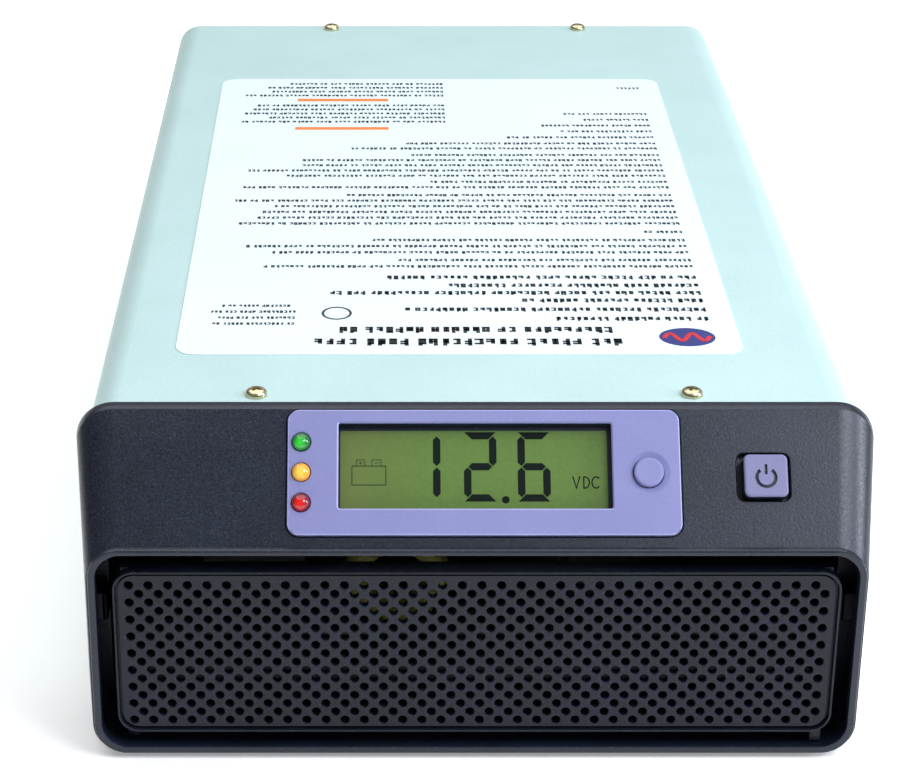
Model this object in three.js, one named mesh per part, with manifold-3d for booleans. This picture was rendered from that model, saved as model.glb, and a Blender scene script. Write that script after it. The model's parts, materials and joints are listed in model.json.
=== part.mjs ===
// A 1 kW sine-wave power inverter: painted steel case, moulded front with a sloping display face,
// perforated intake grille, and the power electronics inside.
// Millimetres, +Z up. The front faces -Y, +X is to the right of someone facing the front.
// The origin is at the middle of the footprint, on the surface that the feet stand on.
import * as THREE from "three";
import { mergeVertices } from "three/addons/utils/BufferGeometryUtils.js";
import Module from "manifold-3d";

const wasm = await Module();
wasm.setup();

// ---- Driving dimensions ---------------------------------------------------------------------
// Depths (y) are measured here from the front rim, and the whole unit is centred at the end.
const overallDepth = 385.5;
const caseRear = 367.5;
const sheet = 1.2;
const gap = 0.3;

const bezel = {
  frontHalf: 97.6, backHalf: 101.5, faceY: 1.2, backY: 29, wall: 2.2,
  frontBottom: 1.4, backBottom: 0.4, kneeZ: 60.2, topZ: 88, slopeEndY: 25, cornerFront: 8.3, cornerBack: 10,
};
const rim = { half: 97.2, bottom: 1.4, top: 60.7, radius: 8.3, thickness: 2.2 };
const recess = { half: 95.2, bottom: 3.6, top: 59, radius: 6.6 };
const lean = THREE.MathUtils.degToRad(41);

const grille = { half: 91.1, bottom: 7.7, top: 54.3, radius: 5.4, faceY: 1.2, thickness: 2 };

const cover = { half: 98.8, top: 85.6, bottom: 10, frontY: 26.5, bend: 8 };
const tray = { half: 97.3, bottom: 3, thickness: 1.5, sideTop: 24, frontY: 28, rearY: 365.7, bend: 6.5 };
const rear = { half: 97.3, top: 84.1, innerY: 366 };

const footHeight = 3;
const board = { half: 88, frontY: 31, rearY: 300, z: 18.5, thickness: 1.6 };
const boardTop = board.z + board.thickness + 0.2;
const fan = { x: 0, z: 45, size: 60, depth: 24.7, bore: 28.5, hub: 13 };

// ---- Solids and booleans --------------------------------------------------------------------
function toSolid(geometry) {
  const bare = geometry.clone();
  bare.deleteAttribute("normal");
  bare.deleteAttribute("uv");
  const merged = mergeVertices(bare, 1e-4);
  return new wasm.Manifold(new wasm.Mesh({
    numProp: 3,
    vertProperties: Float32Array.from(merged.attributes.position.array),
    triVerts: Uint32Array.from(merged.index.array),
  }));
}

function toGeometry(solid) {
  const mesh = solid.getMesh();
  const geometry = new THREE.BufferGeometry();
  geometry.setAttribute("position", new THREE.BufferAttribute(mesh.vertProperties, 3));
  geometry.setIndex(new THREE.BufferAttribute(mesh.triVerts, 1));
  geometry.computeVertexNormals();
  return geometry;
}

function join(...geometries) {
  return toGeometry(geometries.map(toSolid).reduce((sum, next) => sum.add(next)));
}

function cut(base, ...tools) {
  return toGeometry(tools.map(toSolid).reduce((left, tool) => left.subtract(tool), toSolid(base)));
}

// ---- Basic shapes ---------------------------------------------------------------------------
function block([x0, x1], [y0, y1], [z0, z1]) {
  const geometry = new THREE.BoxGeometry(x1 - x0, y1 - y0, z1 - z0);
  return geometry.translate((x0 + x1) / 2, (y0 + y1) / 2, (z0 + z1) / 2);
}

// The range of x between two distances from the middle plane, on the left (-1) or right (+1) side.
function across(side, near, far) {
  return side < 0 ? [-far, -near] : [near, far];
}

// Upright, lengthwise and crosswise cylinders between two stations on their own axis.
function pillar(radius, x, y, [z0, z1], sides = 24) {
  const geometry = new THREE.CylinderGeometry(radius, radius, z1 - z0, sides).rotateX(Math.PI / 2);
  return geometry.translate(x, y, (z0 + z1) / 2);
}

function rodAlongY(radius, x, z, [y0, y1], sides = 24) {
  const geometry = new THREE.CylinderGeometry(radius, radius, y1 - y0, sides);
  return geometry.translate(x, (y0 + y1) / 2, z);
}

function rodAlongX(radius, y, z, [x0, x1], sides = 24) {
  const geometry = new THREE.CylinderGeometry(radius, radius, x1 - x0, sides).rotateZ(Math.PI / 2);
  return geometry.translate((x0 + x1) / 2, y, z);
}

function roundedRect([x0, x1], [y0, y1], radius) {
  const shape = new THREE.Shape();
  shape.absarc(x1 - radius, y1 - radius, radius, 0, Math.PI / 2);
  shape.absarc(x0 + radius, y1 - radius, radius, Math.PI / 2, Math.PI);
  shape.absarc(x0 + radius, y0 + radius, radius, Math.PI, 1.5 * Math.PI);
  shape.absarc(x1 - radius, y0 + radius, radius, 1.5 * Math.PI, 2 * Math.PI);
  return shape;
}

function upright(shape, [z0, z1], curveSegments = 6) {
  const options = { depth: z1 - z0, bevelEnabled: false, curveSegments };
  return new THREE.ExtrudeGeometry(shape, options).translate(0, 0, z0);
}

// A front view, with the shape's second coordinate as height, given depth along Y.
function frontView(shape, [y0, y1], curveSegments = 6) {
  const options = { depth: y1 - y0, bevelEnabled: false, curveSegments };
  return new THREE.ExtrudeGeometry(shape, options).rotateX(Math.PI / 2).translate(0, y1, 0);
}

// Skins a row of closed outlines, front to back, and closes both ends.
function loft(outlines) {
  const count = outlines[0].length;
  const points = outlines.flat();
  const index = [];
  for (let ring = 0; ring + 1 < outlines.length; ring += 1) {
    for (let side = 0; side < count; side += 1) {
      const a = ring * count + side;
      const b = ring * count + ((side + 1) % count);
      index.push(a, a + count, b, b, a + count, b + count);
    }
  }
  const last = (outlines.length - 1) * count;
  for (let side = 1; side + 1 < count; side += 1) {
    index.push(0, side, side + 1);
    index.push(last, last + side + 1, last + side);
  }
  const geometry = new THREE.BufferGeometry().setFromPoints(points);
  geometry.setIndex(index);
  return geometry;
}

// ---- The sloping face's own frame: X across, Y up the slope, Z straight out of it ------------
const slope = new THREE.Matrix4()
  .makeRotationX(Math.PI / 2 - lean)
  .setPosition(0, bezel.faceY, bezel.kneeZ);

// ---- Materials and the assembly -------------------------------------------------------------
const finishes = {
  mintPaint: [0xd6eeee, 0.42, 0.1],
  navyPlastic: [0x3a4258, 0.5, 0],
  lavenderPlastic: [0x9b9cdb, 0.45, 0],
  paper: [0xf0fbfd, 0.55, 0],
  lcdGlass: [0x7c9457, 0.2, 0],
  whitePlastic: [0xe4e6e4, 0.5, 0],
  greenLens: [0x0a9a2c, 0.2, 0],
  yellowLens: [0xf8c828, 0.2, 0],
  redLens: [0xc8141e, 0.2, 0],
  circuitBoard: [0x1d5a34, 0.5, 0],
  zincSteel: [0xb9bcc0, 0.4, 0.9],
  nickelScrew: [0xcfc59a, 0.3, 1],
  blackRubber: [0x1c1c1e, 0.85, 0],
  blackPlastic: [0x17181a, 0.5, 0],
  redPlastic: [0xb0201c, 0.45, 0],
  aluminium: [0xc2c6c9, 0.4, 0.9],
  ferrite: [0x2b2b2d, 0.7, 0],
  yellowTape: [0xe6c21a, 0.5, 0],
  blueSleeve: [0x1b3350, 0.4, 0],
  brass: [0xc9a24b, 0.3, 1],
  orangePlastic: [0xd9761a, 0.4, 0],
};

const unit = new THREE.Group();
unit.position.y = -overallDepth / 2;
const face = new THREE.Group();
face.applyMatrix4(slope);
unit.add(face);

function add(name, geometry, finish, parent = unit) {
  const [color, roughness, metalness] = finishes[finish];
  const mesh = new THREE.Mesh(geometry, new THREE.MeshStandardMaterial({ color, roughness, metalness }));
  mesh.name = name;
  parent.add(mesh);
  return mesh;
}

// ---- Front moulding -------------------------------------------------------------------------
const panel = { x: [-47.3, 50.9], s: [3.6, 35.9], radius: 3, back: -0.7, front: 1 };
const windowHole = { x: [-34.6, 33.8], s: [10.4, 32.4], radius: 0.5 };
const powerHole = { x: [64.9, 78.3], s: [12.5, 24.8], radius: 1.9 };
const powerKey = { x: 72, s: 18.6 };

// The moulding's height at a depth: up the slope, over a small round, then level to the back.
function topHeight(y) {
  const slopeTop = bezel.kneeZ + (bezel.slopeEndY - bezel.faceY) / Math.tan(lean);
  if (y <= bezel.slopeEndY) return bezel.kneeZ + (y - bezel.faceY) / Math.tan(lean);
  const along = Math.min(1, (y - bezel.slopeEndY) / (bezel.backY - 2 - bezel.slopeEndY));
  return slopeTop + (bezel.topZ - slopeTop) * Math.sin(along * Math.PI / 2);
}

function bezelOutline(y, inset, topInset) {
  const along = (y - bezel.faceY) / (bezel.backY - bezel.faceY);
  const half = THREE.MathUtils.lerp(bezel.frontHalf, bezel.backHalf, along) - inset;
  const bottom = THREE.MathUtils.lerp(bezel.frontBottom, bezel.backBottom, along) + inset;
  const radius = THREE.MathUtils.lerp(bezel.cornerFront, bezel.cornerBack, along) - inset;
  const outline = roundedRect([-half, half], [bottom, topHeight(y) - topInset], radius);
  const ring = outline.extractPoints(6).shape.slice(0, -1);
  return ring.map((point) => new THREE.Vector3(point.x, y, point.y));
}

function frontBezel() {
  const depths = [bezel.faceY, 13, bezel.slopeEndY, 25.8, bezel.backY - 2, bezel.backY];
  const outer = loft(depths.map((y) => bezelOutline(y, 0, 0)));
  const wallUp = bezel.wall / Math.sin(lean);
  const innerDepths = [bezel.faceY + bezel.wall, 13, bezel.slopeEndY, cover.frontY - 0.2, bezel.backY + 0.6];
  const innerInsets = [wallUp, wallUp, wallUp, bezel.wall, bezel.wall];
  const inner = loft(innerDepths.map((y, i) => bezelOutline(y, bezel.wall, innerInsets[i])));
  const lip = frontView(roundedRect([-rim.half, rim.half], [rim.bottom, rim.top], rim.radius),
    [0, rim.thickness]);
  const opening = frontView(
    roundedRect([-recess.half, recess.half], [recess.bottom, recess.top], recess.radius), [-1, 6]);
  const pocket = upright(roundedRect(
    [panel.x[0] - gap, panel.x[1] + gap], [panel.s[0] - gap, panel.s[1] + gap], panel.radius + gap),
    [panel.back - gap, 6]);
  const displayHole = block([-46.2, 49.4], [6.6, 34.6], [-6, 2]);
  const buttonHole = upright(roundedRect(powerHole.x, powerHole.s, powerHole.radius), [-6, 2]);
  const faceCuts = [pocket, displayHole, buttonHole].map((tool) => tool.applyMatrix4(slope));
  const shell = cut(join(cut(outer, inner), lip), opening, ...faceCuts);
  const hooks = [-1, 1].flatMap((side) => [34, 62].flatMap((z) => [
    block(across(side, 94.6, 98.5), [19, 25.5], [z - 4, z + 4]),
    block(across(side, 94.6, 96.4), [19, 44], [z - 4, z + 4]),
  ]));
  return join(shell, stopFlange(), ...hooks);
}

// An inner flange that the edges of the case butt against, round the bottom and both sides.
function stopFlange() {
  const depths = [cover.frontY - 1.1, cover.frontY - 0.3];
  const outside = frontView(roundedRect([-100, 100], [1.6, 110], 8.8), depths);
  const inside = frontView(roundedRect([-94.6, 94.6], [6, 120], 5), [depths[0] - 1, depths[1] + 1]);
  const above = block([-120, 120], [depths[0] - 1, depths[1] + 1], [72, 130]);
  return cut(outside, inside, above);
}

// The flat grille: a thin ridge round it, a groove inside the ridge, and ribs that cross the open
// channel to the moulding. Its round perforations are fine detail that this solid leaves out.
function frontGrille() {
  const outline = (inset) => roundedRect([-grille.half + inset, grille.half - inset],
    [grille.bottom + inset, grille.top - inset], grille.radius - inset);
  const ring = (outset, inset, depths) => cut(frontView(outline(outset), depths),
    frontView(outline(inset), [depths[0] - 1, depths[1] + 1]));
  const backY = grille.faceY + grille.thickness;
  const plate = frontView(outline(0), [grille.faceY, backY]);
  const ridge = ring(0, 0.7, [grille.faceY - 0.7, grille.faceY + 0.5]);
  const groove = ring(0.7, 1.4, [grille.faceY - 1, grille.faceY + 0.9]);
  const skirt = ring(0, 1.6, [backY - 0.5, backY + 3]);
  const ribs = [-87.7, 87.7].flatMap((x) => [
    block([x - 1.5, x + 1.5], [grille.faceY + 1.2, backY + 3], [3.9, grille.bottom + 1]),
    block([x - 1.5, x + 1.5], [backY, 11], [grille.top - 1.6, grille.top]),
    block([x - 1.5, x + 1.5], [8.5, 11], [grille.top - 1.6, 64.8]),
  ]);
  return join(cut(join(plate, ridge), groove), skirt, ...ribs);
}

// ---- Display and its buttons, on the slope --------------------------------------------------
const display = { glass: [-3.4, -2.3], backlight: [-8.1, -3.7], board: [-10, -8.4] };
const ledX = -43.9;
const button = { x: 42.9, s: 19.6 };

function displayPanel() {
  const plate = upright(roundedRect(panel.x, panel.s, panel.radius), [panel.back, panel.front]);
  const outset = 1;
  const frame = block([windowHole.x[0] - outset, windowHole.x[1] + outset],
    [windowHole.s[0] - outset, windowHole.s[1] + outset], [-2, 0]);
  const opening = upright(roundedRect(windowHole.x, windowHole.s, windowHole.radius), [-4, 4], 3);
  const lampHoles = [27.5, 19.7, 11.9].map((s) => pillar(2.45, ledX, s, [-4, 4]));
  return cut(join(plate, frame), opening, ...lampHoles, pillar(3.95, button.x, button.s, [-4, 4]));
}

function lamp(s) {
  const radius = 2.3;
  const profile = [new THREE.Vector2(0, -8.1), new THREE.Vector2(radius, -8.1)];
  for (let step = 0; step <= 5; step += 1) {
    const angle = (step / 5) * Math.PI / 2;
    profile.push(new THREE.Vector2(radius * Math.cos(angle), 0.8 + 1.9 * Math.sin(angle)));
  }
  profile[profile.length - 1].x = 0;
  return new THREE.LatheGeometry(profile, 16).rotateX(Math.PI / 2).translate(ledX, s, 0);
}

function displayButton() {
  const at = (radius, heights) => pillar(radius, button.x, button.s, heights);
  return join(at(3.7, [-2.2, 2.1]), at(4.6, [-2.2, -1]), at(1.6, [-4.9, -2]));
}

function powerButton() {
  const square = (half, radius, heights) => upright(roundedRect(
    [powerKey.x - half, powerKey.x + half], [powerKey.s - half, powerKey.s + half], radius), heights, 4);
  return join(square(5.45, 1.3, [-4.6, 2.2]), square(7.4, 1.3, [-4.6, -2.9]));
}

function addDisplay() {
  const glassX = [-37.4, 36.6];
  const glassS = [8.2, 34.4];
  add("display_panel", displayPanel(), "lavenderPlastic", face);
  add("lcd_glass", block(glassX, glassS, display.glass), "lcdGlass", face);
  add("lcd_backlight", block(glassX, glassS, display.backlight), "whitePlastic", face);
  add("display_board", block([-46, 81], [8, 33], display.board), "circuitBoard", face);
  add("led_green", lamp(27.5), "greenLens", face);
  add("led_yellow", lamp(19.7), "yellowLens", face);
  add("led_red", lamp(11.9), "redLens", face);
  add("display_button", displayButton(), "lavenderPlastic", face);
  add("display_switch", block([button.x - 3, button.x + 3], [button.s - 3, button.s + 3], [-8.1, -5.6]),
    "blackPlastic", face);
  add("power_button", powerButton(), "lavenderPlastic", face);
  add("power_switch", block([powerKey.x - 6, powerKey.x + 6], [powerKey.s - 6, powerKey.s + 6],
    [-8.1, -6.5]), "blackPlastic", face);
}

// ---- Sheet-metal case -----------------------------------------------------------------------
const topScrews = [[-55.9, 37.9], [55.9, 37.9], [-41.7, 363.2], [50, 363.2]];
const sideScrews = [70, 330];
const sideScrewZ = 17;
const screwHole = 1.75;

// A lengthwise sleeve of bent sheet, from which the case's two channels are cut.
function sleeve(half, [z0, z1], bend, thickness, [y0, y1]) {
  const outside = roundedRect([-half, half], [z0, z1], bend);
  const inside = roundedRect([-half + thickness, half - thickness], [z0 + thickness, z1 - thickness],
    bend - thickness);
  return cut(frontView(outside, [y0, y1]), frontView(inside, [y0 - 1, y1 + 1]));
}

function sideScrewHoles() {
  return sideScrews.map((y) => rodAlongX(screwHole, y, sideScrewZ, [-120, 120], 12));
}

// An inverted U with rounded upper edges.
function topCover() {
  const bent = sleeve(cover.half, [cover.bottom - 30, cover.top], cover.bend, sheet,
    [cover.frontY, caseRear]);
  const openBottom = block([-120, 120], [0, 400], [-50, cover.bottom]);
  const holes = topScrews.map(([x, y]) => pillar(screwHole, x, y, [80, 90], 12));
  return cut(bent, openBottom, ...holes, ...sideScrewHoles());
}

// The tray stands inside the cover's sides and carries the board on pressed-in pillars.
const boardPillars = [-78, 78].flatMap((x) => [48, 288].map((y) => [x, y]));

function chassis() {
  const bent = sleeve(tray.half, [tray.bottom, 70], tray.bend, tray.thickness, [tray.frontY, tray.rearY]);
  const openTop = block([-120, 120], [0, 400], [tray.sideTop, 80]);
  const lip = block([-90, 90], [tray.frontY, tray.frontY + tray.thickness], [tray.bottom + 0.5, 12]);
  const pillars = boardPillars.map(([x, y]) => pillar(3.2, x, y, [tray.bottom + 0.5, board.z - 0.2], 6));
  return join(cut(bent, openTop, ...sideScrewHoles()), lip, ...pillars);
}

// Ties the side walls together behind the front moulding and takes the two front cover screws.
function frontCrossbar() {
  const inset = sheet + gap;
  const bent = sleeve(cover.half - inset, [0, cover.top - inset], cover.bend - inset, sheet, [31, 58]);
  const belowLegs = block([-120, 120], [0, 100], [-10, tray.sideTop + 2]);
  const aheadOfLegs = block([-120, 120], [0, 47], [-10, 76]);
  const holes = topScrews.slice(0, 2).map(([x, y]) => pillar(screwHole, x, y, [80, 90], 12));
  return cut(bent, belowLegs, aheadOfLegs, ...holes);
}

// Rear fittings: where each one sits on the rear panel.
const dcTerminals = { positive: 52, negative: 82 };
const dcZ = 32;
const ground = { x: 44, z: 68 };
const jack = { x: [62, 76], z: [60, 72] };
const acCover = { x: [-92, -38], z: [16, 70] };
const knockoutX = [-78, -52];

function rearPanel() {
  const plate = frontView(roundedRect([-rear.half, rear.half], [tray.bottom, rear.top], tray.bend),
    [rear.innerY, caseRear]);
  const flange = block([-80, 80], [352, caseRear - 0.2], [rear.top - sheet, rear.top]);
  const through = [rear.innerY - 2, caseRear + 2];
  const fanHole = rodAlongY(27.5, fan.x, fan.z, through, 36);
  const fanScrews = [-25, 25].flatMap((x) => [-25, 25].map((z) =>
    rodAlongY(2.1, fan.x + x, fan.z + z, through, 10)));
  const studHoles = Object.values(dcTerminals).map((x) => rodAlongY(6.5, x, dcZ, through));
  const groundHole = rodAlongY(2.8, ground.x, ground.z, through, 12);
  const jackHole = block([jack.x[0] - gap, jack.x[1] + gap], through, [jack.z[0] - gap, jack.z[1] + gap]);
  const wiringOpening = block([acCover.x[0] + 5, acCover.x[1] - 5], through,
    [acCover.z[0] + 5, acCover.z[1] - 5]);
  const topHoles = topScrews.slice(2).map(([x, y]) => pillar(screwHole, x, y, [80, 90], 12));
  return cut(join(plate, flange), fanHole, ...fanScrews, ...studHoles, groundHole, jackHole,
    wiringOpening, ...topHoles);
}

function ratingLabel() {
  const z = cover.top + 0.05;
  return upright(roundedRect([-78.8, 73], [63.1, 301.8], 5.5), [z, z + 0.2]);
}

// A pan-head screw standing on z = 0, its shank pointing down.
function panScrew() {
  const profile = [[0, -5], [1.45, -5], [1.45, 0], [2.75, 0], [2.75, 0.9], [2.2, 1.6], [1.2, 1.9], [0, 1.9]];
  const points = profile.map(([radius, z]) => new THREE.Vector2(radius, z));
  return new THREE.LatheGeometry(points, 12).rotateX(Math.PI / 2);
}

function addCase() {
  add("front_bezel", frontBezel(), "navyPlastic");
  add("front_grille", frontGrille(), "navyPlastic");
  add("top_cover", topCover(), "mintPaint");
  add("chassis", chassis(), "zincSteel");
  add("front_crossbar", frontCrossbar(), "zincSteel");
  add("rear_panel", rearPanel(), "mintPaint");
  add("rating_label", ratingLabel(), "paper");
  topScrews.forEach(([x, y], i) => {
    const names = ["front_left", "front_right", "rear_left", "rear_right"];
    add(`cover_screw_${names[i]}`, panScrew(), "nickelScrew").position.set(x, y, cover.top + 0.05);
  });
  for (const [side, sign] of [["left", -1], ["right", 1]]) {
    sideScrews.forEach((y, i) => {
      const screw = add(`side_screw_${side}_${i + 1}`, panScrew(), "nickelScrew");
      screw.position.set(sign * (cover.half + 0.05), y, sideScrewZ);
      screw.rotation.y = sign * Math.PI / 2;
    });
  }
  for (const [end, y] of [["front", 52], ["rear", 346]]) {
    for (const [side, x] of [["left", -80], ["right", 80]]) {
      add(`foot_${end}_${side}`, pillar(7, x, y, [0, footHeight - 0.05]), "blackRubber");
    }
  }
}

// ---- Electronics ----------------------------------------------------------------------------
function mainBoard() {
  return block([-board.half, board.half], [board.frontY, board.rearY], [board.z, board.z + board.thickness]);
}

// A finned extrusion: the devices sit on its inner face, the fins point at the case wall.
function heatsink(side) {
  const inner = 72;
  const base = 4;
  const outer = 94;
  const finCount = 8;
  const pitch = 8;
  const length = [100, 290];
  const fins = Array.from({ length: finCount }, (_, i) => {
    const z = boardTop + i * pitch;
    return block(across(side, inner, outer), length, [z, z + 2]);
  });
  const web = block(across(side, inner, inner + base), length,
    [boardTop, boardTop + (finCount - 1) * pitch + 2]);
  return join(web, ...fins);
}

function transistor(side, y) {
  return block(across(side, 67, 71.7), [y - 40, y + 40], [boardTop + 6, boardTop + 27]);
}

// A ferrite core with its taped winding standing proud on two sides.
function transformer(x, y) {
  const core = block([x - 21, x + 21], [y - 13, y + 13], [boardTop, boardTop + 44]);
  const winding = block([x - 14, x + 14], [y - 23, y + 23], [boardTop + 6, boardTop + 38]);
  return join(core, winding);
}

function toroid(outer, thickness) {
  const inner = outer * 0.5;
  const tube = (outer - inner) / 2;
  const middle = (outer + inner) / 2;
  const profile = [];
  const corners = 12;
  for (let step = 0; step <= corners; step += 1) {
    const angle = (step % corners) / corners * 2 * Math.PI;
    profile.push(new THREE.Vector2(middle + tube * Math.cos(angle), thickness / 2 * Math.sin(angle)));
  }
  return new THREE.LatheGeometry(profile, 24);
}

function capacitor(radius, height, x, y) {
  return pillar(radius, x, y, [boardTop, boardTop + height]);
}

function addElectronics() {
  add("main_board", mainBoard(), "circuitBoard");
  const chokeRadius = 14;
  add("input_choke", toroid(chokeRadius, 12), "yellowTape")
    .position.set(-19.6, 38, boardTop + chokeRadius);
  add("output_choke", toroid(22, 18).rotateX(Math.PI / 2), "ferrite")
    .position.set(34, 62, boardTop + 9);
  add("transfer_relay", block([-72, -44], [50, 66], [boardTop, boardTop + 26]), "blackPlastic");
  add("bulk_capacitor_left", capacitor(15, 46, -22, 108), "blueSleeve");
  add("bulk_capacitor_right", capacitor(15, 46, 22, 108), "blueSleeve");
  add("control_board", block([-40, 40], [132, 133.6], [boardTop, boardTop + 42]), "circuitBoard");
  add("transformer_left", transformer(-32, 172), "yellowTape");
  add("transformer_right", transformer(32, 172), "yellowTape");
  [-26, 0, 26].forEach((x, i) => {
    add(`input_capacitor_${i + 1}`, capacitor(9, 32, x, 222), "blueSleeve");
  });
  add("fuse_block", block([-30, 30], [252, 272], [boardTop, boardTop + 18]), "orangePlastic");
  for (const [name, side] of [["left", -1], ["right", 1]]) {
    add(`heatsink_${name}`, heatsink(side), "aluminium");
    add(`transistor_row_${name}`, transistor(side, 195), "blackPlastic");
  }
}

// ---- Fan ------------------------------------------------------------------------------------
const fanRear = rear.innerY - gap;
const fanFront = fanRear - fan.depth;

function fanFrame() {
  const half = fan.size / 2;
  const shell = frontView(roundedRect([fan.x - half, fan.x + half], [fan.z - half, fan.z + half], 4),
    [fanFront, fanRear], 3);
  const bore = rodAlongY(fan.bore, fan.x, fan.z, [fanFront - 1, fanRear + 1], 36);
  const seat = rodAlongY(fan.hub, fan.x, fan.z, [fanFront, fanFront + 3]);
  const strut = (angle) => new THREE.BoxGeometry(2 * fan.bore + 1, 3, 3)
    .rotateY(angle).translate(fan.x, fanFront + 1.5, fan.z);
  const bearing = rodAlongY(2, fan.x, fan.z, [fanFront + 0.8, fanFront + 4], 16);
  return cut(join(cut(shell, bore), seat, strut(Math.PI / 4), strut(-Math.PI / 4)), bearing);
}

// The rotor is made about its own axis, which runs lengthwise through the fan's middle.
function fanRotor() {
  const hub = rodAlongY(fan.hub - 0.5, 0, 0, [fanFront + 3.6, fanFront + 21]);
  const shaft = rodAlongY(1.6, 0, 0, [fanFront + 1.4, fanFront + 4], 16);
  const bladeLength = 16;
  const bladeCount = 7;
  const blades = Array.from({ length: bladeCount }, (_, i) => new THREE.BoxGeometry(bladeLength, 1.3, 17)
    .rotateX(THREE.MathUtils.degToRad(38))
    .translate(fan.bore - 1.2 - bladeLength / 2, fanFront + 12.5, 0)
    .rotateY(i / bladeCount * 2 * Math.PI));
  return join(hub, shaft, ...blades);
}

// A stamped finger guard: rings joined by four spokes.
function fanGuard() {
  const shape = roundedRect([-29, 29], [-29, 29], 7);
  const rings = [[6, 11], [13, 18], [20, 25.5]];
  for (const [inside, outside] of rings) {
    for (let quarter = 0; quarter < 4; quarter += 1) {
      const start = quarter * Math.PI / 2 + 1.3 / inside;
      const end = (quarter + 1) * Math.PI / 2 - 1.3 / inside;
      const slot = new THREE.Path();
      slot.absarc(0, 0, outside, start, end, false);
      slot.absarc(0, 0, inside, end, start, true);
      slot.closePath();
      shape.holes.push(slot);
    }
  }
  return frontView(shape, [caseRear + 0.1, caseRear + 1.6], 4).translate(fan.x, 0, fan.z);
}

// ---- Rear fittings --------------------------------------------------------------------------
const studSeat = { y: [375.7, 378], radius: 9 };

function dcBase(x) {
  const body = frontView(roundedRect([x - 13, x + 13], [dcZ - 13, dcZ + 13], 3), [caseRear + 0.1, 375.4], 3);
  const sleeve = rodAlongY(6.2, x, dcZ, [rear.innerY - 4, caseRear + 2]);
  return cut(join(body, sleeve), rodAlongY(4.4, x, dcZ, [350, 380]));
}

function dcStud(x) {
  const stud = rodAlongY(4, x, dcZ, [350, overallDepth]);
  const seat = rodAlongY(studSeat.radius, x, dcZ, studSeat.y);
  return join(stud, seat);
}

// The nut is run back from the seat by the thickness of a cable lug.
function dcNut(x) {
  return cut(rodAlongY(7.4, x, dcZ, [379.7, 384.5], 6), rodAlongY(4.3, x, dcZ, [370, 390]));
}

function groundStud() {
  const at = (radius, depths, sides) => rodAlongY(radius, ground.x, ground.z, depths, sides);
  return join(at(2.5, [358, 378], 16), at(7, [caseRear + 0.1, caseRear + 2.1], 24));
}

// A flat plate over the mains wiring opening, with two stamped knock-outs.
function wiringCover() {
  const plate = frontView(roundedRect(acCover.x, acCover.z, 3), [caseRear + 0.1, caseRear + 1.6], 3);
  const knockouts = knockoutX.map((x) => rodAlongY(10.5, x, 36, [caseRear + 1.2, caseRear + 3]));
  return cut(plate, ...knockouts);
}

function remoteJack() {
  const body = block(jack.x, [354, caseRear + 0.8], jack.z);
  const mouth = block([jack.x[0] + 2, jack.x[1] - 2], [358, caseRear + 2], [jack.z[0] + 2, jack.z[1] - 2.5]);
  return cut(body, mouth);
}

function addRear() {
  add("fan_frame", fanFrame(), "blackPlastic");
  add("fan_rotor", fanRotor(), "blackPlastic").position.set(fan.x, 0, fan.z);
  add("fan_guard", fanGuard(), "zincSteel");
  for (const [name, x] of Object.entries(dcTerminals)) {
    add(`dc_base_${name}`, dcBase(x), name === "positive" ? "redPlastic" : "blackPlastic");
    add(`dc_stud_${name}`, dcStud(x), "brass");
    add(`dc_nut_${name}`, dcNut(x), "zincSteel");
  }
  add("ground_stud", groundStud(), "brass");
  add("wiring_cover", wiringCover(), "mintPaint");
  add("ac_terminal_block", block([-88, -44], [338, 356], [14, 30]), "blackPlastic");
  add("remote_jack", remoteJack(), "blackPlastic");
}

addCase();
addDisplay();
addElectronics();
addRear();

export default unit;
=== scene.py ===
import json
import math
import random

import bmesh
import bpy
from mathutils import Matrix, Vector
from mathutils.geometry import tessellate_polygon


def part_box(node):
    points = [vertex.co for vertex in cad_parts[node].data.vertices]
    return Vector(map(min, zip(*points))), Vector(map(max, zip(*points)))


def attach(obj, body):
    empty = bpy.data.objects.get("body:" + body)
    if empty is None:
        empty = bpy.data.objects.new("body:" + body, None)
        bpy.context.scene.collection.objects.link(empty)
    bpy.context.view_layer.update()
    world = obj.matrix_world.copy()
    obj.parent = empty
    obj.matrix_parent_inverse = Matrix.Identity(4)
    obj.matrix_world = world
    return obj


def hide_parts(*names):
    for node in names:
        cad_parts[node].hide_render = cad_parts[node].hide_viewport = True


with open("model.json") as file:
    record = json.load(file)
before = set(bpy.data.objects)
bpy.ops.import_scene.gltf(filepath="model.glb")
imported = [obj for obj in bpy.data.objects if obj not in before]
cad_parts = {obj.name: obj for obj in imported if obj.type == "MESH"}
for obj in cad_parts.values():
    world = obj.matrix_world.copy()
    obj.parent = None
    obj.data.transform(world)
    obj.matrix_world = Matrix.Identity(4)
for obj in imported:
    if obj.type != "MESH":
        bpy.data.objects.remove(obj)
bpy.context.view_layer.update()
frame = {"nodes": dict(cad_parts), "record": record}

mm = 0.001
rim_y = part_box("front_bezel")[0].y
unit = Matrix.Translation((0, rim_y, 0)) @ Matrix.Scale(mm, 4)

# The sloping face's own frame: X across, Y up the slope, Z straight out of it.
lean = math.radians(41)
knee = Vector((0, 1.2, 60.2))
face = unit @ Matrix.Translation(knee) @ Matrix.Rotation(math.pi / 2 - lean, 4, "X")


# ---- Camera, stage and lights -----------------------------------------------------------------
def add_camera():
    data = bpy.data.cameras.new("camera")
    data.lens = 100.5
    data.sensor_width = 36
    data.shift_x = 0.086
    camera = bpy.data.objects.new("camera", data)
    bpy.context.collection.objects.link(camera)
    camera.location = (-0.0252, rim_y - 0.5527, 0.3587)
    camera.rotation_euler = (math.radians(65.26), 0, 0)
    bpy.context.scene.camera = camera


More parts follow.
